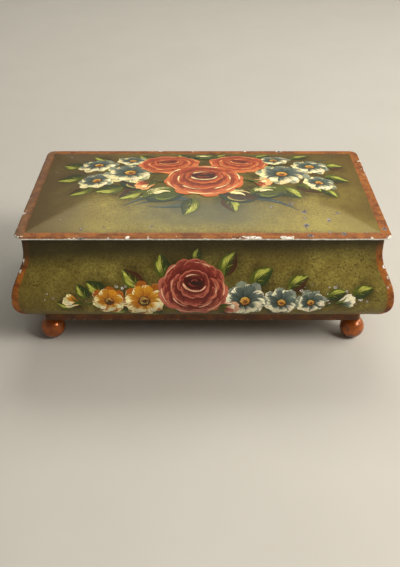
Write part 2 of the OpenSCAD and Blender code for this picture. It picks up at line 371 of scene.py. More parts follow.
def wall_paint():
    paint = Finish("wall_paint")
    corner = paint.attribute("corner", 2)
    wobble = (paint.cloud(8, 3, 0.55, shift=31) - 0.5) * 2.2
    hem = (paint.z - FOOT_Z + wobble * 0.5).between(HEM_BORDER + HEM_SOFT, HEM_BORDER - HEM_SOFT)
    border = (corner + wobble).between(WALL_BORDER + WALL_SOFT, WALL_BORDER - WALL_SOFT).most(hem)
    ground, grain = glazed_ground(paint)
    # Browner towards the wall's foot and towards its corners
    browned = paint.z.between(FOOT_Z + 9, FOOT_Z + 1) * 0.5 + (corner + wobble).between(8, WALL_BORDER) * 0.25
    colours = border.blend(browned.blend(ground, OLIVE_BROWN), copper_band(paint))
    # Painted shadow of the lid's overhang: the wall turns olive shadow under its mouth, more towards the
    # left end
    lid_overhang_shadow = (paint.z + wobble - paint.x * 0.04).between(TOP_Z - 20, TOP_Z - 6) * 0.85
    return varnished(paint, lid_overhang_shadow.blend(colours, OLIVE_SHADOW), grain, border, wall_wear(paint, corner))


def plinth_paint():
    """Copper-brown paint of the plinth, darkened unevenly as painted shade with some grime, and worn along
    its lower edge.
    """
    paint = Finish("plinth_paint")
    torn = paint.cloud(1.5, 4, 0.65, shift=12)
    low = paint.z.between(PLINTH_Z + 0.9, PLINTH_Z + 0.1)
    chips = low * torn.between(0.58, 0.62)
    rims = low * torn.between(0.46, 0.56)
    # Painted shade under the belly, uneven like grime: the copper darkens towards rust brown
    shade_and_grime = 0.35 + paint.cloud(7, 3, 0.55, shift=70).between(0.35, 0.65) * 0.35
    colours = chipped(paint, shade_and_grime.blend(copper_band(paint), RUST), chips, chips * 0.4, rims)
    relief = paint.bump(paint.cloud(1.2, 3, 0.6, shift=4) - chips * 0.5, RELIEF)
    return paint.done(Base_Color=colours, Roughness=0.36 + 0.2 * torn, Normal=relief,
                      Specular_IOR_Level=GLOSS, Coat_Weight=0.1, Coat_Roughness=0.3)


def ball_paint():
    """Glossy copper paint of the balls, darker below as painted shade, and worn through where they stand."""
    paint = Finish("ball_paint")
    patina = paint.cloud(4.0, 4, 0.6, shift=3).between(0.42, 0.68)
    fine = paint.cloud(0.7, 3, 0.6, shift=8).between(0.4, 0.7)
    # Painted shade: the lower half of each ball turns brown
    low = paint.z.between(7.0, 2.0)
    worn = paint.z.between(0.5, 0.2)
    colours = (patina * 0.8 + low * 0.3).blend(BALL_COPPER, BALL_BROWN)
    colours = worn.blend((fine * 0.2).blend(colours, BALL_BRIGHT), BARE_WOOD)
    return paint.done(Base_Color=colours, Metallic=0.5 - 0.25 * patina,
                      Roughness=0.26 + 0.16 * patina + 0.3 * worn,
                      Normal=paint.bump(paint.cloud(1.6, 3, 0.6), 0.06),
                      Coat_Weight=0.25, Coat_Roughness=0.18)


def lacquered_inside():
    """Tan lacquer of the inside, cloudy and spotted with rust."""
    paint = Finish("lacquered_inside")
    cloudy = paint.cloud(14, 4, 0.6, shift=19).between(0.3, 0.7)
    fine = paint.cloud(1.1, 4, 0.6, shift=2).between(0.35, 0.7)
    spots = paint.cloud(2.2, 2, 0.5, shift=29).between(0.66, 0.72)
    colours = (spots * 0.8).blend(cloudy.blend(LACQUER_DEEP, LACQUER), RUST)
    return paint.done(Base_Color=colours, Metallic=0.55 - 0.5 * spots, Roughness=0.38 + 0.18 * fine,
                      Normal=paint.bump(fine, 0.03))


def worn_metal(name, bright, dull, metallic):
    """Brass or steel that has dulled in blotches."""
    paint = Finish(name)
    dulled = paint.cloud(3.0, 5, 0.6, shift=6).between(0.30, 0.70)
    fine = paint.cloud(0.4, 3, 0.6, shift=1).between(0.35, 0.7)
    return paint.done(Base_Color=dulled.blend(bright, dull), Metallic=metallic - 0.25 * dulled,
                      Roughness=0.3 + 0.25 * dulled, Normal=paint.bump(fine, 0.02))


def brush_paint():
    """Oil paint of the flowers: colours held by the strokes, broken up by the hair lines of the brush."""
    paint = Finish("brush_paint")
    oil, load = paint.attribute("oil", 0), paint.attribute("oil", 3)
    light, share = paint.attribute("light", 0), paint.attribute("light", 3)
    edge = paint.attribute("edge", 2)
    along = paint.node("UVMap", {"uv_map": "stroke"})
    hairs = paint.cloud(1.0, 2, 0.6, place=paint.stretched(along, (0.20, 1.25, 1.0)))
    fine_hairs = paint.cloud(1.0, 2, 0.6, place=paint.stretched(along, (0.45, 3.4, 1.0)))
    grain = paint.cloud(0.5, 3, 0.6, shift=8)
    loaded = (share + (hairs - 0.5) * 1.1 + (fine_hairs - 0.5) * 0.5).between(0.30, 0.62)
    rim = (edge + (hairs - 0.5) * 0.9).between(0.62, 0.36)
    streaks = (hairs * 0.6 + fine_hairs * 0.4).between(0.32, 0.68).blend(STREAK_DARK, STREAK_LIGHT)
    ground, sponge = olive_ground(paint)
    covered = (load + (hairs - 0.5) * 0.5 * load.between(0.0, 0.2)).between(0.05, 0.85)
    colours = covered.blend(ground, loaded.most(rim).blend(oil, light).tinted(streaks))
    height = (hairs * 0.7 + fine_hairs * 0.4 + rim * 0.4) * covered + grain * 0.3
    return paint.done(Base_Color=colours, Metallic=(1 - covered) * OLIVE_METAL,
                      Roughness=0.38 + 0.12 * sponge, Normal=paint.bump(height, 0.10), **VARNISH)


LID_PAINT = lid_paint()
WALL_PAINT = wall_paint()
PLINTH_PAINT = plinth_paint()
BALL_PAINT = ball_paint()
INSIDE = lacquered_inside()
HINGE_BRASS = worn_metal("hinge_brass", (0.40, 0.28, 0.12), (0.20, 0.13, 0.06), 0.9)
SCREW_BRASS = worn_metal("screw_brass", (0.62, 0.46, 0.20), (0.25, 0.16, 0.07), 0.95)
STEEL = worn_metal("pin_steel", (0.55, 0.55, 0.53), (0.18, 0.15, 0.12), 0.95)
BRUSH_PAINT = brush_paint()


# Making and placing pieces

MERGE = 1e-6
SHARP_TURN = 35


def add_object(name, data):
    made = bpy.data.objects.new(name, data)
    bpy.context.scene.collection.objects.link(made)
    return made


def add_mesh(name, bm, *materials):
    """Makes a smooth mesh object out of bm, which ends here."""
    mesh = bpy.data.meshes.new(name)
    bm.to_mesh(mesh)
    bm.free()
    for material in materials:
        mesh.materials.append(material)
    mesh.shade_smooth()
    return add_object(name, mesh)


def add_piece(name, bm, body, slot, *materials, crease=SHARP_TURN):
    """Makes a mesh piece that rides on a body, smooth except where it turns more than crease degrees."""
    piece = add_mesh(name, bm, *materials)
    piece.data.set_sharp_from_angle(angle=radians(crease))
    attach(piece, body)
    return piece


def add_sheet(name, node, bm, inside, body, slot, paint, crease=SHARP_TURN):
    """Makes a folded sheet, painted outside and lacquered inside, in a node's place; returns its surface."""
    bmesh.ops.recalc_face_normals(bm, faces=bm.faces)
    for face in bm.faces:
        face.material_index = int(all(inside.get(v, 0) for v in face.verts))
    surface = BVHTree.FromBMesh(bm)
    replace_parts(add_piece(name, bm, body, slot, paint, INSIDE, crease=crease), node)
    return surface


def steps(start, end, count):
    """Values from start to end, with the start and without the end."""
    return [start + (end - start) * i / count for i in range(count)]


def arc(centre, r, start, end, count):
    return [(centre[0] + r * cos(a), centre[1] + r * sin(a)) for a in steps(start, end, count)]


def unevenness(x, y, lump, seed):
    return noise.noise(Vector((x / lump, y / lump, seed)))


# Pots of paint for the flowers, as linear red, green, blue

MAROON = (0.060, 0.007, 0.004)
CRIMSON = (0.185, 0.020, 0.010)
BRICK = (0.410, 0.066, 0.024)
CORAL = (0.610, 0.165, 0.050)
PEACH = (0.820, 0.430, 0.170)
WINE_ROSE = (0.215, 0.030, 0.020)
ROSE_PINK = (0.470, 0.135, 0.085)
BLUSH = (0.740, 0.430, 0.280)
CREAM = (0.900, 0.810, 0.440)
IVORY = (0.950, 0.910, 0.680)
STRAW = (0.620, 0.500, 0.150)
GOLD = (0.620, 0.290, 0.015)
AMBER = (0.380, 0.110, 0.008)
UMBER = (0.060, 0.028, 0.008)
SOOT = (0.016, 0.014, 0.010)
SLATE = (0.105, 0.140, 0.125)
TEAL = (0.028, 0.050, 0.040)
MIST = (0.230, 0.275, 0.215)
BLUE_GREY = (0.050, 0.080, 0.090)
BOTTLE = (0.018, 0.036, 0.008)
FERN = (0.042, 0.058, 0.009)
MOSS = (0.080, 0.104, 0.010)
LIME = (0.230, 0.280, 0.020)
PALE_LIME = (0.500, 0.520, 0.110)

# Pots of a daisy: heart, body, light, back petals, eye and the ring round it
BLUE_DAISY = (TEAL, SLATE, CREAM, MIST, GOLD, AMBER)
WHITE_DAISY = (TEAL, SLATE, IVORY, MIST, GOLD, AMBER)
GOLD_DAISY = (AMBER, GOLD, CREAM, AMBER, AMBER, UMBER)

# Pots of a rose or bud: dark, body, light and edge
CORAL_ROSE = (CRIMSON, BRICK, CORAL, PEACH)
DEEP_ROSE = (MAROON, BRICK, CORAL, CREAM)
PINK_ROSE = (MAROON, WINE_ROSE, ROSE_PINK, BLUSH)
CORAL_BUD = (CRIMSON, BRICK, PEACH, CREAM)
GOLD_BUD = (AMBER, GOLD, CREAM, IVORY)
WHITE_BUD = (TEAL, MIST, IVORY, IVORY)
PINK_BUD = (MAROON, ROSE_PINK, BLUSH, IVORY)

# Pots of a round leaf: body and light
GREEN_LEAF = (MOSS, LIME)
BROWN_LEAF = (UMBER, STRAW)


# The flower sprays, in millimetres from the middle of the lid and of the front's widest line

LID_BLADES = [  # place, length, turn, bend
    ((-12, -14), 36, 205, -0.10), ((-8, -21), 32, 192, -0.08), ((20, -18), 36, -24, 0.10),
    ((26, -14), 32, -10, 0.08), ((-6, -26), 24, 186, 0.06), ((-56, 28), 20, 160, 0.1),
    ((60, 30), 20, 20, -0.1)]
LID_LEAVES = [  # place, length, turn, paint of the back half
    ((-34, -8), 18, 222, MAROON), ((-46, -6), 17, 200, BOTTLE), ((-70, 10), 16, 186, BOTTLE),
    ((-64, -6), 15, 212, MAROON), ((-72, 24), 14, 158, BOTTLE), ((-56, 34), 14, 146, MAROON),
    ((42, -8), 18, -44, BOTTLE), ((54, -6), 17, -22, MAROON), ((72, 8), 15, -6, BOTTLE),
    ((74, 22), 14, 24, MAROON), ((56, 36), 14, 36, BOTTLE), ((-8, 38), 12, 122, BOTTLE),
    ((10, 38), 12, 60, MAROON), ((-6, -20), 17, 254, BOTTLE), ((12, -19), 16, -70, MAROON),
    ((-30, 36), 13, 134, BOTTLE), ((34, 38), 12, 48, BOTTLE), ((-30, 14), 14, 160, MAROON),
    ((32, 16), 14, 20, BOTTLE), ((-52, 16), 14, 130, BOTTLE), ((56, 10), 13, 62, MAROON),
    ((-24, -12), 14, 206, MAROON), ((28, -12), 14, -30, MAROON), ((68, -8), 12, -48, BOTTLE)]
LID_ROUND_LEAVES = [  # place, size, turn, flattening, pots
    ((-22, -15), 13, 18, 0.86, GREEN_LEAF), ((20, -17), 12, -16, 0.82, BROWN_LEAF),
    ((37, -13), 11, 8, 0.84, GREEN_LEAF), ((-39, -3), 10, -24, 0.82, BROWN_LEAF),
    ((2, 42), 9, 0, 0.7, GREEN_LEAF)]
LID_DAISIES = [(*spec, BLUE_DAISY) for spec in (  # place, size, turn, flattening, petals
    ((-43, 33), 10.5, -10, 0.78, 7), ((-63, 24), 12.0, 14, 0.80, 8), ((44, 34), 10.5, 12, 0.76, 7),
    ((65, 22), 12.0, -12, 0.80, 8), ((-62, 2), 11.0, 24, 0.84, 7), ((68, 0), 10.5, -20, 0.84, 7),
    ((-43, 12), 15.0, 8, 0.86, 8), ((47, 10), 15.0, -10, 0.86, 8))]
LID_ROSES = [  # place, size, turn, flattening, pots
    ((-20, 27), 19, 18, 0.84, CORAL_ROSE), ((22, 28), 18, -18, 0.84, CORAL_ROSE),
    ((1, 3), 23, 4, 0.88, DEEP_ROSE)]
LID_BUDS = [((-30, -3), 9, 205, CORAL_BUD), ((31, 0), 9, -18, CORAL_BUD)]  # place, size, turn, pots
FRONT_LEAVES = [
    ((-19, 15), 14, 104, BOTTLE), ((-32, 10), 15, 138, MAROON), ((12, 16), 15, 66, MAROON),
    ((27, 10), 15, 42, BOTTLE), ((-3, 24), 8, 84, BOTTLE), ((-52, 7), 13, 150, BOTTLE),
    ((47, 8), 13, 36, MAROON), ((68, 3), 11, 22, BOTTLE), ((-70, -1), 10, 168, MAROON),
    ((82, 4), 12, 26, BOTTLE), ((-22, -6), 12, 200, BOTTLE), ((10, -6), 12, -16, MAROON),
    ((-40, -3), 12, 196, MAROON), ((34, -3), 12, -10, BOTTLE), ((-62, 4), 10, 128, BOTTLE)]
FRONT_DAISIES = [  # place, size, turn, flattening, petals, pots
    ((-51, 2), 9.5, -12, 0.88, 7, GOLD_DAISY), ((-32, 2), 12.0, 8, 0.92, 8, GOLD_DAISY),
    ((59, 1), 8.5, 10, 0.86, 7, WHITE_DAISY), ((43, 1), 10.0, -10, 0.88, 7, WHITE_DAISY),
    ((23, 2), 12.0, 6, 0.92, 8, WHITE_DAISY)]
FRONT_ROSES = [((-5, 9), 18.5, -6, 0.90, PINK_ROSE)]
FRONT_BUDS = [((-69, 1), 7.0, 170, GOLD_BUD), ((76, 1), 7.0, 12, WHITE_BUD), ((12, -1), 8.0, -28, PINK_BUD)]

GLAZE_SPREAD = 1.3
GLAZE_DEPTH = 0.75
TUCKED_TURN = 1.4


def clouded(x, y, motifs):
    """How dark the glaze round some motifs is at a point, from 0 to 1."""
    clear = 1.0
    for (a, b), size in motifs:
        away = hypot(x - a, y - b) / (size * GLAZE_SPREAD)
        clear *= 1 - GLAZE_DEPTH * max(1 - away * away, 0) ** 0.8
    return 1 - clear


def motifs_of(leaves, others):
    """Middles and half sizes of the leaves and flowers, for their glaze."""
    motifs = []
    for (x, y), length, turn, _ in leaves:
        half = length / 2
        motifs.append(((x + half * cos(radians(turn)), y + half * sin(radians(turn))), half))
    return motifs + [(motif[0], motif[1]) for motif in others]


def front_curve_height(up):
    """Height of the front's ogee curve, an arc's length up from its widest line."""
    if up < 0:
        return wide_z - low_r * sin(min(-up / low_r, TUCKED_TURN))
    belly = BELLY_R * flare_turn
    if up < belly:
        return wide_z + BELLY_R * sin(up / BELLY_R)
    flare_foot = wide_z + BELLY_R * sin(flare_turn)
    if up < belly + FLARE_L:
        return flare_foot + (up - belly) * cos(flare_turn)
    left = flare_turn - (up - belly - FLARE_L) / NECK_R
    return neck_z - NECK_R * (sin(left) if left > 0 else left)


# Walls

CUT = 0.0002  # Half width of the step at the end of a notch, as a share of the wall
COLUMN_W = 3.6 * MM

# Dents: size of their lumps, and their depth in millimetres
BROAD_LUMP, BROAD_DENT = 24 * MM, 0.30
FINE_LUMP, FINE_DENT = 7 * MM, 0.08
DENT_OUT = 0.02 * MM

# How far from a wall's corner, mouth and foot its dents reach their full depth
CALM_CORNER = 8
CALM_MOUTH = 10 * MM
CALM_FOOT = 6 * MM


def wall_curve(inward):
    """Ogee curve of a wall, from its flange up to its mouth, as (distance past the lid's edge, height)."""
    foot = wall_foot + inward
    curve = [(-plinth_inset - FLANGE_W + w, foot) for w in steps(0, FLANGE_W, 3)]
    curve += arc((-plinth_inset, wide_z), low_r - inward, -pi / 2, 0, 18)
    curve += arc((belly_out - BELLY_R, wide_z), BELLY_R - inward, 0, flare_turn, 12)
    flare_foot = (belly_out - BELLY_R + (BELLY_R - inward) * cos(flare_turn),
                  wide_z + (BELLY_R - inward) * sin(flare_turn))
    curve += [(flare_foot[0] - f * sin(flare_turn), flare_foot[1] + f * cos(flare_turn))
              for f in steps(0, FLARE_L, 6)]
    curve += arc((NECK_R - neck_inset, neck_z), NECK_R + inward, pi + flare_turn, pi, 12)
    curve += [(-neck_inset - inward, z) for z in steps(neck_z, wall_top, 8)]
    return curve


def wall_outline():
    """Closed outline of a wall with its folded hem, as (distance, height, inside)."""
    outer = [(d, z, 0) for d, z in wall_curve(0)]
    hem_d = -neck_inset - 2 * SHEET
    top = [(-neck_inset, wall_top, 0), (hem_d, wall_top, 1), (hem_d, wall_top - HEM_H, 1),
           (-neck_inset - SHEET, wall_top - HEM_H, 1)]
    inner = [(d, z, 1) for d, z in reversed(wall_curve(SHEET)) if z < wall_top - HEM_H or d < hem_d]
    return outer + top + inner + outer[:1]


def wall_columns(across, cuts):
    """Columns of a wall from end to end, as (side, distance from the end, rounding of the seam)."""
    seam = [(SEAM_R - SEAM_R * sin(a), SEAM_R - SEAM_R * cos(a)) for a in steps(pi / 4, 0, 4)]
    seam.append((SEAM_R, 0.0))
    middle = steps(-1, 1, round(2 * across / COLUMN_W))[1:]
    middle = sorted(middle + [cut * 2 / across + side for cut in cuts for side in (-CUT, CUT)])
    columns = [(-1, s, o) for s, o in seam] + [(f, SEAM_R, 0.0) for f in middle]
    return columns + [(1, s, o) for s, o in reversed(seam)]


def build_wall(name, across, out, turn, seed, motifs=(), notches=()):
    """One wall, mitred to its neighbours, made on the front side and turned about the middle."""
    outline = wall_outline()
    columns = wall_columns(across, [x + side * NOTCH_W / 2 for x in notches for side in (-1, 1)])
    seam_end = columns[0][1]
    bm = bmesh.new()
    corner = bm.verts.layers.float.new("corner")
    shadow = bm.verts.layers.float.new("shadow")
    bmesh.ops.create_grid(bm, x_segments=len(columns) - 1, y_segments=len(outline) - 1, size=1)
    inside = {}
    for vert in bm.verts:
        f, s, o = columns[round((vert.co.x + 1) / 2 * (len(columns) - 1))]
        d, z, inner = outline[round((vert.co.y + 1) / 2 * (len(outline) - 1))]
        if inner:
            s, o = (s - seam_end) * SEAM_R / (SEAM_R - seam_end), 0.0
        half = across / 2 + d
        x = f * (half - s)
        vert[corner] = (half - abs(x)) / MM
        vert[shadow] = 0 if inner else clouded(x / MM, z / MM, motifs)
        inside[vert] = inner
        if z == wall_top and any(abs(f * across / 2 - notch) < NOTCH_W / 2 for notch in notches):
            z -= NOTCH_H
        calm = min(1, vert[corner] / CALM_CORNER,
                   max(0, wall_top - z) / CALM_MOUTH, max(0, z - wall_foot) / CALM_FOOT)
        dent = unevenness(x, z, BROAD_LUMP, seed) * BROAD_DENT
        dent += unevenness(x, z, FINE_LUMP, seed + 3) * FINE_DENT
        vert.co = (x, -(out + d - o) + max(dent * MM * calm, -DENT_OUT), z)
    bmesh.ops.remove_doubles(bm, verts=bm.verts, dist=MERGE)
    bmesh.ops.holes_fill(bm, edges=[e for e in bm.edges if e.is_boundary], sides=0)
    bmesh.ops.rotate(bm, verts=bm.verts, matrix=Matrix.Rotation(radians(turn), 3, "Z"))
    return add_sheet(name, name.replace("wall_", "body_"), bm, inside, "case", "painted_body", WALL_PAINT)


front_motifs = motifs_of(FRONT_LEAVES, FRONT_DAISIES + FRONT_BUDS + FRONT_ROSES)
front_motifs = [((a, front_curve_height(b * MM) / MM), size) for (a, b), size in front_motifs]
FRONT_SURFACE = build_wall("wall_front", 2 * half_w, half_d, 0, 1.5, motifs=front_motifs)
build_wall("wall_back", 2 * half_w, half_d, 180, 8.5, notches=(-hinge_x, hinge_x))
build_wall("wall_left_end", 2 * half_d, half_w, -90, 15.5)
build_wall("wall_right_end", 2 * half_d, half_w, 90, 22.5)


# Lid

CORNER_STEPS = 8
LONG_STEPS = 110
SHORT_STEPS = 62
RAMP_STEPS = 36
HIP_R = 0.7 * MM
HIP_SPREAD = 0.09
BEAD_FROM, BEAD_TO = radians(78), radians(-206)
BEAD_INSET = 1.1 * MM
BEAD_FOOT = 1.75 * MM
BEAD_WEAR = 0.16 * MM
SAG, SAG_LUMP, SAG_START = 0.35 * MM, 30 * MM, 12 * MM


def rise_at(s):
    """Height of the lid over its margin, at a distance in from the margin."""
    s = min(max(s / rise_l, 0), 1)
    return lid_rise * (1 - (1 - s) ** 2)


def lid_outline():
    """Section of the lid from the crown out round its rolled edge and back, as (inset, height, inside)."""
    ramp = [half_d - (half_d - lid_margin) * f for f in steps(0, 1, RAMP_STEPS)]
    top = [(i, lid_top + rise_at(i - lid_margin), 0) for i in ramp]
    margin = [(i, lid_top, 0) for i in steps(lid_margin, BEAD_INSET, 4)]
    bead = [(BEAD_R - BEAD_R * cos(a), bead_z + BEAD_R * sin(a), 0) for a in steps(BEAD_FROM, BEAD_TO, 22)]
    under = [(i, lid_under, 1) for i in steps(BEAD_FOOT, lid_margin, 3)]
    ceiling = [(i, lid_under + rise_at(i - lid_margin), 1) for i in reversed(ramp)]
    return top + margin + bead + under + [(lid_margin, lid_under, 1)] + ceiling


def lid_spots():
    """Places round the lid: (corner, turn within it, None) or (corner, None, share of the side after it)."""
    spots = []
    for corner in range(4):
        spots += [(corner, turn, None) for turn in steps(0, pi / 2, CORNER_STEPS) + [pi / 2]]
        side = SHORT_STEPS if corner % 2 else LONG_STEPS
        spots += [(corner, None, share) for share in steps(0, 1, side)[1:]]
    return spots


def corner_point(corner, turn, inset):
    """Point on a corner of the lid's outline, drawn in by inset; the hips get a soft edge."""
    corner %= 4
    r = min(max(LID_CORNER_R - inset, HIP_R + HIP_SPREAD * inset), half_d - inset)
    side_x = 1 if corner in (0, 3) else -1
    side_y = 1 if corner < 2 else -1
    a = corner * pi / 2 + turn
    return Vector((side_x * (half_w - inset - r) + r * cos(a), side_y * (half_d - inset - r) + r * sin(a)))


def lid_point(spot, inset):
    corner, turn, share = spot
    if share is None:
        return corner_point(corner, turn, inset)
    return corner_point(corner, pi / 2, inset).lerp(corner_point(corner + 1, 0, inset), share)


def build_lid():
    outline = lid_outline()
    spots = lid_spots()
    motifs = motifs_of(LID_LEAVES, LID_ROUND_LEAVES + LID_DAISIES + LID_ROSES + LID_BUDS)
    bm = bmesh.new()
    shadow = bm.verts.layers.float.new("shadow")
    bmesh.ops.create_grid(bm, x_segments=len(spots), y_segments=len(outline) - 1, size=1)
    inside = {}
    for vert in bm.verts:
        spot = spots[round((vert.co.x + 1) / 2 * len(spots)) % len(spots)]
        inset, z, inner = outline[round((vert.co.y + 1) / 2 * (len(outline) - 1))]
        inside[vert] = inner
        place = lid_point(spot, inset)
        if inset < 2 * BEAD_R and not inner:
            worn = 0.5 + 0.5 * unevenness(place.x, place.y, 2.3 * MM, 4.5)
            worn = max(worn, unevenness(place.x, place.y, 9 * MM, 31.5))
            draw_in = BEAD_WEAR * worn ** 2
            place = lid_point(spot, inset + draw_in)
            z += draw_in * 0.8 if z < bead_z else -draw_in * 0.3
        calm = min(1, max(0, inset - lid_margin) / SAG_START)
        z -= (0.5 + 0.5 * unevenness(place.x, place.y, SAG_LUMP, 2.5)) * SAG * calm
        vert.co = (place.x, place.y, z)
        vert[shadow] = 0 if inner else clouded(place.x / MM, place.y / MM, motifs)
    bmesh.ops.remove_doubles(bm, verts=bm.verts, dist=MERGE)
    bmesh.ops.dissolve_degenerate(bm, edges=bm.edges, dist=MERGE / 10)
    return add_sheet("lid_shell", "lid_panel", bm, inside, "lid", "painted_lid", LID_PAINT, crease=50)


LID_SURFACE = build_lid()


# Finishes of the pieces that stay as the model has them

NODE_FINISHES = {"plinth": PLINTH_PAINT, "base": INSIDE, "foot": BALL_PAINT, "screw": SCREW_BRASS,
                 "leaf": HINGE_BRASS, "pin": STEEL, "wire": STEEL}

for node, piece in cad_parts.items():
    for word, finish in NODE_FINISHES.items():
        if word in node.split("_"):
            piece.data.materials.clear()
            piece.data.materials.append(finish)


# Brush strokes

FIRST_LAYER = 0.03 * MM
LAYER = 0.007 * MM
SUNK = 0.1 * MM
SUNK_MORE = 0.3  # Share of a layer by which each layer's foot lies deeper
CELL = 1.2
MOST_ALONG = 26
MOST_ACROSS = 14
FAR_FROM_RIM = 9.0
BORDER_LAP = 0.1  # How far a stroke may lap the lid's border, in millimetres


class Canvas:
    """A painted face of the box, measured in millimetres across and up from the middle of its spray."""

    def __init__(self, surface, view, grain, body, slot):
        self.surface = surface
        self.view = view
        self.grain = grain
        self.body = body
        self.slot = slot
        self.layers = {}

    def paint(self, name, *kinds):
        """Paints motifs, each kind as (function, its motifs), as one piece."""
        self.bm = bmesh.new()
        self.oil = self.bm.verts.layers.float_color.new("oil")
        self.light = self.bm.verts.layers.float_color.new("light")
        self.edge = self.bm.verts.layers.float.new("edge")
        self.foot = self.bm.verts.layers.float_vector.new("foot")
        self.map = self.bm.loops.layers.uv.new("stroke")
        for draw, motifs in kinds:
            for motif in motifs:
                draw(self, *motif)
        self.close()
        add_piece(name, self.bm, self.body, self.slot, BRUSH_PAINT, crease=60)

    def stroke(self, spine, widths, tint, rim=None):
        """Lays one stroke over what is there: its middle line, its two widths and its paint along it."""
        ahead = [Vector(spine(t)) for t in steps(0, 1, 8)] + [Vector(spine(1))]
        length = sum((b - a).length for a, b in zip(ahead, ahead[1:]))
        broad = max(sum(widths(t)) for t in (0.2, 0.35, 0.5, 0.65, 0.8))
        along = min(max(round(length / self.grain), 5), MOST_ALONG)
        across = min(max(round(broad / self.grain), 2), MOST_ACROSS)
        across += across % 2
        grid = bmesh.ops.create_grid(self.bm, x_segments=along, y_segments=across, size=1)["verts"]
        seed = rng.uniform(0, 90)
        spots = []
        for vert in grid:
            t, s = (vert.co.x + 1) / 2, vert.co.y
            way = (Vector(spine(min(t + 0.01, 1))) - Vector(spine(max(t - 0.01, 0)))).normalized()
            left, right = widths(t)
            off = s * (left if s > 0 else right)
            spot = Vector(spine(t)) + Vector((-way.y, way.x)) * off
            spots.append((vert, t, s, off, spot))
            vert[self.edge] = rim(t, s, left, right) if rim else FAR_FROM_RIM
        cells = {(round(spot.x / CELL), round(spot.y / CELL)) for _, _, _, _, spot in spots}
        layer = 1 + max(self.layers.get(cell, 0) for cell in cells)
        self.layers.update((cell, layer) for cell in cells)
        for vert, t, s, off, spot in spots:
            hit, normal, _, _ = self.surface.ray_cast(*self.view(spot.x, spot.y))
            vert.co = hit + normal * (FIRST_LAYER + LAYER * layer)
            vert[self.foot] = hit - normal * (SUNK + LAYER * layer * SUNK_MORE)
            oil, load, light, share = tint(t, s)
            vert[self.oil] = (*oil, load)
            vert[self.light] = (*light, share)
            for loop in vert.link_loops:
                loop[self.map].uv = (t * length + seed, off + seed)

    def close(self):
        """Closes the strokes down to a foot that is sunk in the sheet."""
        made = bmesh.ops.extrude_face_region(self.bm, geom=self.bm.faces, use_keep_orig=True)["geom"]
        for vert in made:
            if isinstance(vert, bmesh.types.BMVert):
                vert.co = vert[self.foot]
        bmesh.ops.recalc_face_normals(self.bm, faces=self.bm.faces)


def lid_view(a, b):
    """Ray down on to the lid, kept inside its painted border."""
    reach = BACK_Y - LID_BORDER + BORDER_LAP
    return Vector((a * MM, min(max(b, -reach), reach) * MM, 0.2)), Vector((0, 0, -1))


def front_view(a, b):
    return Vector((a * MM, -0.3, front_curve_height(b * MM))), Vector((0, 1, 0))


def clamped(value):
    return min(max(value, 0.0), 1.0)


def mixed(low, high, share):
    share = clamped(share)
    return tuple(p + (q - p) * share for p, q in zip(low, high))


def through(stops, share):
    """Colour along a list of colours, share from 0 to 1."""
    place = clamped(share) * (len(stops) - 1)
    first = min(int(place), len(stops) - 2)
    return mixed(stops[first], stops[first + 1], place - first)


def jittered(paint, amount=0.14):
    """A pot's colour as it comes off the brush, a little lighter or darker each time."""
    factor = 1 + rng.uniform(-amount, amount)
    return tuple(min(c * factor * (1 + rng.uniform(-amount, amount) / 3), 1) for c in paint)


# Paint on a stroke: body colour, how much covers the ground, light colour, and its share

def across_paint(stops, light=None, load=1.0, tail=None, lit=0.0):
    """Paint that runs across a stroke, from its right side to its left, and thins towards the tail."""
    stops = [jittered(s) for s in stops]
    light = jittered(light or stops[0])
    tail = load if tail is None else tail

    def tint(t, s):
        return through(stops, (s + 1) / 2), load + (tail - load) * t ** 2, light, lit
    return tint


def tip_paint(heart, body, light, bright):
    """Paint of a petal, dark at the heart and loaded with light paint towards its end."""
    heart, body, light = jittered(heart), jittered(body), jittered(light)
    lean = rng.uniform(0.25, 0.6)

    def tint(t, s):
        shaded = mixed(heart, body, (t - 0.05) / 0.6 + 0.3 * s)
        return shaded, 1.0, light, clamped((t - 0.36) * 1.35 * bright + lean * (s - 0.1) * t)
    return tint


def outer_paint(light, body, deep, bright):
    """Paint of a curved petal: light along its outer side, and deep along its inner side."""
    light, body, deep = jittered(light), jittered(body), jittered(deep)

    def tint(t, s):
        outward = (1 - s) / 2
        ends = 1 - 0.5 * abs(2 * t - 1) ** 3
        share = clamped((outward - 0.45) * 1.1 * bright * ends)
        return mixed(deep, body, outward * 1.2 - 0.05), 1.0, light, share
    return tint


def round_rim(t, s, left, right):
    """Distance to the outline of a petal, but only round its outer end."""
    side = left if s > 0 else right
    return (1 - abs(s)) * side + max(0.5 - t, 0) * 8 + max(-0.15 - s, 0) * max(0.93 - t, 0) * 5


def outer_rim(t, s, left, right):
    """Distance to the outer side of a curved petal, but not at its ends."""
    return (1 + s) / 2 * (left + right) + max(abs(2 * t - 1) - 0.72, 0) * 7


# Middle lines and widths of strokes

THIN_SHARE = 0.05  # Least width of a stroke, as a share of its full width
THIN_LEAF = 0.05  # Least half width of a leaf's stroke, in millimetres
THIN_PETAL = 0.04  # Least half width of a curved petal, in millimetres
COMMA_HEAD = 0.22  # Where along a comma stroke it is fullest
PETAL_FULLEST = 0.66  # Where along a petal it is fullest


def bowed(start, end, bend):
    """Line from start to end that bows to its left by bend."""
    start, end = Vector(start), Vector(end)
    way = end - start
    middle = (start + end) / 2 + Vector((-way.y, way.x)).normalized() * bend * 2

    def spine(t):
        return start * (1 - t) ** 2 + middle * 2 * t * (1 - t) + end * t ** 2
    return spine


def rounded(share, full):
    """Share of its width that a round end has reached, where it is full wide at full."""
    return sqrt(max(0, 1 - (1 - min(share / full, 1)) ** 2))


def past(t, fullest):
    """How far t has gone from the fullest place to the end, from 0 to 1."""
    return max(t - fullest, 0) / (1 - fullest)


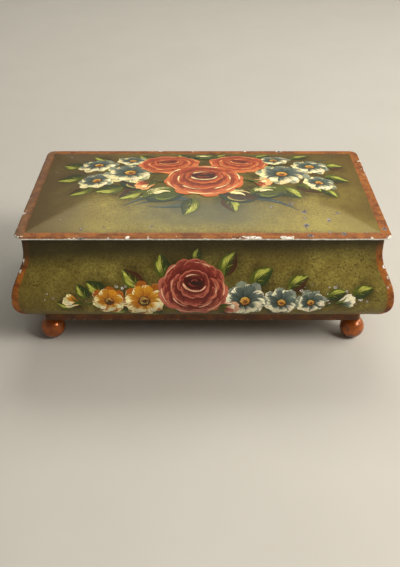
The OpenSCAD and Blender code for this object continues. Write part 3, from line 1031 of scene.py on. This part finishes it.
def even(width, shape):
    """Widths of a stroke whose two sides are alike; the shape runs from 0 to 1."""
    def widths(t):
        w = width / 2 * max(shape(t), THIN_SHARE)
        return w, w
    return widths


def oval(width):
    """Width of a stroke that is one oval."""
    return even(width, lambda t: rounded(min(t, 1 - t), 0.5))


def comma(width):
    """Width of a comma stroke: a round head that runs out to a fine tail."""
    def shape(t):
        return rounded(t, COMMA_HEAD) * (1 - past(t, COMMA_HEAD)) ** 0.9
    return even(width, shape)


def petal_width(width):
    """Width of a petal that starts narrow and is fullest towards its rounded end."""
    def shape(t):
        rise = 0.25 + 0.75 * sin(pi / 2 * min(t / PETAL_FULLEST, 1))
        return rise * sqrt(max(0, 1 - past(t, PETAL_FULLEST) ** 2.4))
    return even(width, shape)


def ruffled(inner, outer, phase):
    """Widths of a curved petal, whose outer side ripples."""
    def widths(t):
        swell = max(sin(pi * t), 0) ** 0.6
        ripple = 1 + 0.16 * sin(7.5 * t + phase) + 0.07 * sin(17 * t + 2 * phase)
        return max(inner * swell, THIN_PETAL), max(outer * swell * ripple, THIN_PETAL)
    return widths


def leaf_width(width, left, right):
    """Widths of a leaf's stroke, with a share for each side."""
    def widths(t):
        w = width * max(sin(pi * t ** 0.8), 0) ** 0.75
        return max(w * left, THIN_LEAF), max(w * right, THIN_LEAF)
    return widths


class Motif:
    """Local axes of one flower or leaf: x along its direction, y to its left, scaled and flattened."""

    def __init__(self, canvas, at, size, turn=0.0, flat=1.0):
        self.stroke = canvas.stroke
        self.at = Vector(at)
        self.size = size
        self.turn = radians(turn)
        self.flat = flat

    def spot(self, x, y):
        x, y = x * self.size, y * self.size * self.flat
        c, s = cos(self.turn), sin(self.turn)
        return self.at + Vector((x * c - y * s, x * s + y * c))

    def curve(self, start, end, bend):
        line = bowed(start, end, bend)
        return lambda t: self.spot(*line(t))

    def ray(self, angle, near, far, bend):
        """Curve outwards from the middle."""
        return self.curve((near * cos(angle), near * sin(angle)), (far * cos(angle), far * sin(angle)), bend)

    def ring(self, centre, r, start, end, squash=1.0):
        """Arc about centre, in degrees; turning left, a stroke's right side is its outer side."""
        start, end = radians(start), radians(end)

        def spine(t):
            a = start + (end - start) * t
            return self.spot(centre[0] + r * cos(a), centre[1] + r * squash * sin(a))
        return spine

    # The paint of a disc, dash or sweep is what across_paint takes

    def disc(self, centre, wide, high, *paint, **more):
        """Filled oval."""
        spine = self.curve((centre[0] - wide, centre[1]), (centre[0] + wide, centre[1]), 0)
        self.stroke(spine, oval(2 * high * self.size * self.flat), across_paint(*paint, **more))

    def dash(self, start, end, bend, width, *paint, **more):
        """Comma stroke along a bowed line."""
        self.stroke(self.curve(start, end, bend), comma(width * self.size), across_paint(*paint, **more))

    def sweep(self, centre, r, start, end, squash, width, *paint, **more):
        """Comma stroke along an arc."""
        line = self.ring(centre, r, start, end, squash)
        self.stroke(line, comma(width * self.size), across_paint(*paint, **more))


# Flowers and leaves; their places, widths and reaches are shares of the motif's size

LEAF_WIDE = 0.64
LEAF_BEND = 0.08


def leaf(canvas, at, length, turn, back):
    """Leaf in two halves, dark or wine red on one side, with lit hatching on the other."""
    m = Motif(canvas, at, length, turn)
    spine = m.curve((0, 0), (1, 0), LEAF_BEND)
    w = LEAF_WIDE * length / 2
    m.stroke(spine, leaf_width(w, 1, 1), across_paint([back, FERN, MOSS], LIME, 0.95))
    m.stroke(spine, leaf_width(w * 0.92, 1, 0.06), across_paint([FERN, MOSS, MOSS], LIME, 0.97, lit=0.25))
    for i in range(5):
        side = LEAF_BEND + 0.5 * LEAF_WIDE * (0.84 - 0.19 * i)
        start = (0.22 + 0.03 * i + rng.uniform(-0.03, 0.03), side * 0.55)
        tip = (0.70 + 0.07 * i + rng.uniform(-0.04, 0.04), side * 0.72)
        m.dash(tip, start, -0.10 * side / LEAF_WIDE, 0.085 - 0.008 * i,
               [LIME, PALE_LIME], PALE_LIME, 1, 0.35, 0.35 + 0.1 * (i % 2))
    for i in range(2):
        foot = 0.2 + 0.26 * i + rng.uniform(-0.03, 0.03)
        tip = (foot + 0.3, LEAF_BEND - 0.5 * LEAF_WIDE * (0.62 - 0.2 * i))
        m.dash((foot, LEAF_BEND), tip, 0.05, 0.06, [MOSS, LIME], LIME, 0.9, 0.3, 0.1)
    m.stroke(spine, comma(0.04 * length), across_paint([BOTTLE, BOTTLE], MOSS, 0.9, 0.4, 0.0))


def blade(canvas, at, length, turn, bend):
    """A single comma stroke, as a blade of grass."""
    m = Motif(canvas, at, length, turn)
    m.dash((0, 0), (1, 0), bend, 0.14, [BLUE_GREY, TEAL], MIST, 1, 0.75, 0.2)


def daisy(canvas, at, size, turn, flat, petals, pots):
    """Open daisy with broad petals, loaded with light paint on the side towards the window."""
    heart, body, light, back, eye, eye_ring = pots
    m = Motif(canvas, at, size, turn, flat)
    m.disc((0, 0), 0.62, 0.6, [heart, heart])
    for layer, reach in enumerate((1.06, 0.92)):
        order = [2 * pi * (i + 0.5 * layer) / petals for i in range(petals)]
        order.sort(key=lambda a: -sin(a))
        for angle in order:
            angle += rng.uniform(-0.10, 0.10)
            bright = 0.42 + 0.48 * layer - 0.62 * sin(angle + 0.5) + rng.uniform(-0.15, 0.2)
            far = reach * rng.uniform(0.90, 1.05)
            spread = 2 * pi * 0.62 * size * sqrt(sin(angle) ** 2 + (flat * cos(angle)) ** 2) / petals * 1.16
            spine = m.ray(angle, 0.16, far, rng.uniform(-0.05, 0.05))
            tint = tip_paint(heart, body if layer else back, light, bright)
            m.stroke(spine, petal_width(spread), tint, round_rim if bright > 0.55 else None)
    for i in range(3):
        spine = m.ray(radians(-118 + 42 * i + rng.uniform(-8, 8)), 0.34, 0.84, 0.04)
        tint = tip_paint(body, light, IVORY, 1.5)
        m.stroke(spine, petal_width(0.36 * size * (0.5 + 0.5 * flat)), tint, round_rim)
    middle = Motif(canvas, at, size * 0.25, turn, max(flat, 0.75))
    middle.disc((0, -0.1), 1.15, 1.1, [UMBER, SOOT])
    middle.disc((0, 0), 0.95, 0.9, [eye_ring, eye], STRAW, lit=0.35)
    middle.disc((0.1, -0.12), 0.45, 0.42, [UMBER, eye_ring])
    middle.sweep((0, 0), 0.72, 60, 200, 1.0, 0.42, [STRAW, eye])


def rose(canvas, at, size, turn, flat, pots):
    """Cabbage rose: outer petals all round, overlapping skirts, a round bowl and a deep throat."""
    dark, body, light, edge = pots
    m = Motif(canvas, at, size, turn, flat)

    def petal(centre, r, inner, outer, middle, reach, bright):
        widths = ruffled(inner * size, outer * size, rng.uniform(0, 6))
        spine = m.ring(centre, r, middle - reach, middle + reach)
        m.stroke(spine, widths, outer_paint(light, body, dark, bright), outer_rim)

    def lip(centre, r, start, end, paint, width, squash=1.0):
        m.sweep(centre, r, start, end, squash, width, [paint, light], edge, 1, 0.7, 0.6)

    m.disc((0, 0), 0.9, 0.86, [dark, body, dark])
    for middle in (38, 146, 66, 116, 92):
        petal((0, 0.05), 0.66 + rng.uniform(-0.03, 0.04), 0.20, 0.26, middle, 34, 0.8)
    for middle, r in ((4, 0.70), (178, 0.72), (338, 0.70), (204, 0.72)):
        petal((0, 0), r, 0.24, 0.30, middle, 32, 1.2)
    for middle in (318, 224, 294, 248, 272):
        petal((0, 0.02), 0.68 + rng.uniform(-0.04, 0.04), 0.24, 0.31, middle + rng.uniform(-5, 5), 30, 1.5)
    for middle in (12, 172, 336, 204, 306, 238, 272):
        petal((0, 0.08), 0.50 + rng.uniform(-0.02, 0.03), 0.20, 0.20, middle + rng.uniform(-5, 5), 33, 1.3)
    bowl = (0.0, 0.16)
    m.disc(bowl, 0.46, 0.44, [body, body, dark])
    for middle in (40, 140, 90):
        petal(bowl, 0.37, 0.10, 0.12, middle, 42, 0.9)
    m.disc((0, 0.24), 0.33, 0.24, [dark, dark])
    m.disc((0.02, 0.25), 0.22, 0.15, [SOOT, dark])
    for r, start, end in ((0.24, 20, 150), (0.17, 195, 330), (0.10, 30, 190)):
        m.sweep((0.01, 0.24), r, start, end, 0.72, 0.075, [body, dark], light, lit=0.25)
    for middle, r in ((196, 0.34), (344, 0.34), (228, 0.32), (312, 0.33), (268, 0.31)):
        petal(bowl, r, 0.12, 0.15, middle, 40, 1.2)
    lip((0, 0.22), 0.33, 190, 300, light, 0.07, 0.80)
    lip((0, 0.22), 0.35, 350, 250, edge, 0.045, 0.84)
    lip((0, 0.26), 0.31, 150, 60, light, 0.05, 0.72)
    for start, end, r in ((238, 292, 0.94), (300, 340, 0.93), (186, 226, 0.95), (214, 262, 0.70),
                          (286, 334, 0.70), (350, 388, 0.90), (128, 168, 0.92), (60, 100, 0.86),
                          (160, 196, 0.66), (350, 384, 0.66)):
        lip((0, 0.03), r, start, end, edge, 0.042)


def bud(canvas, at, size, turn, pots):
    """Half-open bud of a few petals in its calyx."""
    dark, body, light, edge = pots
    m = Motif(canvas, at, size, turn)

    def petal(start, end, bend, width, *paint):
        m.stroke(m.curve(start, end, bend), petal_width(width * size), tip_paint(*paint), round_rim)

    for angle, reach in ((34, 1.0), (-34, 1.0), (12, 1.12), (-12, 1.08)):
        a = radians(angle)
        bend = 0.1 if angle < 0 else -0.1
        petal((-0.2, 0), (reach * cos(a), reach * sin(a)), bend, 0.62, dark, body, light, 1.1)
    petal((-0.3, 0.02), (0.72, 0.1), 0.12, 0.42, body, light, edge, 1.2)
    for side in (-1, 1):
        m.dash((-0.5, 0), (0.45, 0.42 * side), -0.14 * side, 0.3, [BOTTLE, MOSS], LIME, lit=0.3)
    m.dash((-1.3, -0.2), (-0.4, 0), 0.1, 0.16, [MOSS, BOTTLE])


def round_leaf(canvas, at, size, turn, flat, pots):
    """Broad leaf rolled over at its tip, laid in with curved strokes and a few bright touches."""
    body, light = pots
    m = Motif(canvas, at, size, turn, flat)
    m.disc((0, 0), 0.95, 0.78, [TEAL, body, body], light, 0.95)
    for centre, r, start, end, width, stops, touch, tail, lit in (
            ((0, 0), 0.80, 185, 350, 0.26, [BOTTLE, TEAL], body, 0.8, 0.0),
            ((0.02, 0.02), 0.66, 165, 40, 0.34, [light, body], CREAM, 0.8, 0.4),
            ((0.0, -0.05), 0.36, 170, 20, 0.30, [light, light], CREAM, 0.8, 0.6),
            ((0.05, -0.1), 0.52, 200, 330, 0.16, [light, body], light, 0.7, 0.0)):
        m.sweep(centre, r, start, end, 0.85, width, stops, touch, 1, tail, lit)
    m.dash((-0.8, -0.1), (0.85, 0.0), 0.1, 0.10, [SOOT, BOTTLE])


lid = Canvas(LID_SURFACE, lid_view, 1.5, "lid", "painted_lid")
lid.paint("lid_leaves", (blade, LID_BLADES), (leaf, LID_LEAVES), (round_leaf, LID_ROUND_LEAVES))
lid.paint("lid_daisies", (daisy, LID_DAISIES))
lid.paint("lid_roses", (bud, LID_BUDS), (rose, LID_ROSES))

front = Canvas(FRONT_SURFACE, front_view, 1.1, "case", "painted_body")
front.paint("front_leaves", (leaf, FRONT_LEAVES))
front.paint("front_daisies", (daisy, FRONT_DAISIES), (bud, FRONT_BUDS))
front.paint("front_rose", (rose, FRONT_ROSES))


# Camera, floor and lights

CAMERA_AT = (-1.5 * MM, -394.9 * MM, bead_z + 196.8 * MM)
CAMERA_PITCH = 33.57
FOCAL_PX = 745
FRAME_H_PX = 567
SENSOR_MM = 36
FLOOR_R = 1.5
FLOOR_BEND_R = 0.7
FLOOR_WALL_TOP = 2.2
FLOOR_DARK = (0.460, 0.450, 0.435)
FLOOR_LIGHT = (0.500, 0.490, 0.475)
FLOOR_FAR = (0.820, 0.800, 0.780)
FAR_FROM, FAR_FULL = 1000, 2000
BOX_MIDDLE = (0, 0, 0.05)
WARM = (1.0, 0.93, 0.80)
WARM_PALE = (1.0, 0.95, 0.82)
SKY = (0.85, 0.83, 0.80, 1.0)
SKY_STRENGTH = 0.05


def add_camera():
    camera = add_object("camera", bpy.data.cameras.new("camera"))
    camera.data.sensor_width = SENSOR_MM
    camera.data.lens = FOCAL_PX / FRAME_H_PX * SENSOR_MM
    camera.data.clip_start = 0.01
    camera.location = CAMERA_AT
    camera.rotation_euler = (radians(90 - CAMERA_PITCH), 0, 0)
    bpy.context.scene.camera = camera


def build_floor():
    """Pale studio floor that curves up into a wall all round."""
    paint = Finish("studio_floor")
    shade = paint.cloud(60, 3, 0.5).blend(FLOOR_DARK, FLOOR_LIGHT)
    away = (paint.x * paint.x + paint.y * paint.y).between(FAR_FROM ** 2, FAR_FULL ** 2)
    finish = paint.done(Base_Color=away.blend(shade, FLOOR_FAR), Roughness=0.8)
    wall_r = FLOOR_R + FLOOR_BEND_R
    curve = arc((FLOOR_R, FLOOR_BEND_R), FLOOR_BEND_R, -pi / 2, 0, 12)
    curve += [(wall_r, FLOOR_BEND_R), (wall_r, FLOOR_WALL_TOP)]
    bm = bmesh.new()
    chain = [bm.verts.new((r, 0, z)) for r, z in [(0, 0)] + curve]
    edges = [bm.edges.new(pair) for pair in zip(chain, chain[1:])]
    bmesh.ops.spin(bm, geom=chain + edges, cent=(0, 0, 0), axis=(0, 0, 1), angle=2 * pi, steps=48,
                   use_merge=True)
    bmesh.ops.remove_doubles(bm, verts=bm.verts, dist=10 * MERGE)
    bmesh.ops.recalc_face_normals(bm, faces=bm.faces)
    bmesh.ops.reverse_faces(bm, faces=bm.faces)
    add_mesh("studio_floor", bm, finish)


def add_light(name, at, aim, size, watts, tint):
    lamp = bpy.data.lights.new(name, "AREA")
    lamp.shape = "RECTANGLE"
    lamp.size, lamp.size_y = size
    lamp.energy = watts
    lamp.color = tint
    light = add_object(name, lamp)
    light.location = at
    light.rotation_euler = (Vector(aim) - Vector(at)).to_track_quat("-Z", "Y").to_euler()


add_camera()
build_floor()
add_light("window_light", (1.15, 0.35, 0.70), BOX_MIDDLE, (1.0, 0.8), 8, WARM)
add_light("overhead_light", (0.12, 0.80, 1.08), BOX_MIDDLE, (1.1, 0.5), 9.5, WARM_PALE)
add_light("front_fill", (0.68, -0.38, 0.70), (0.03, 0, 0.05), (0.40, 0.40), 11, WARM)

world = bpy.data.worlds.new("studio")
world.use_nodes = True
background = world.node_tree.nodes["Background"]
background.inputs["Color"].default_value = SKY
background.inputs["Strength"].default_value = SKY_STRENGTH
bpy.context.scene.world = world
bpy.context.scene.view_settings.view_transform = "Standard"
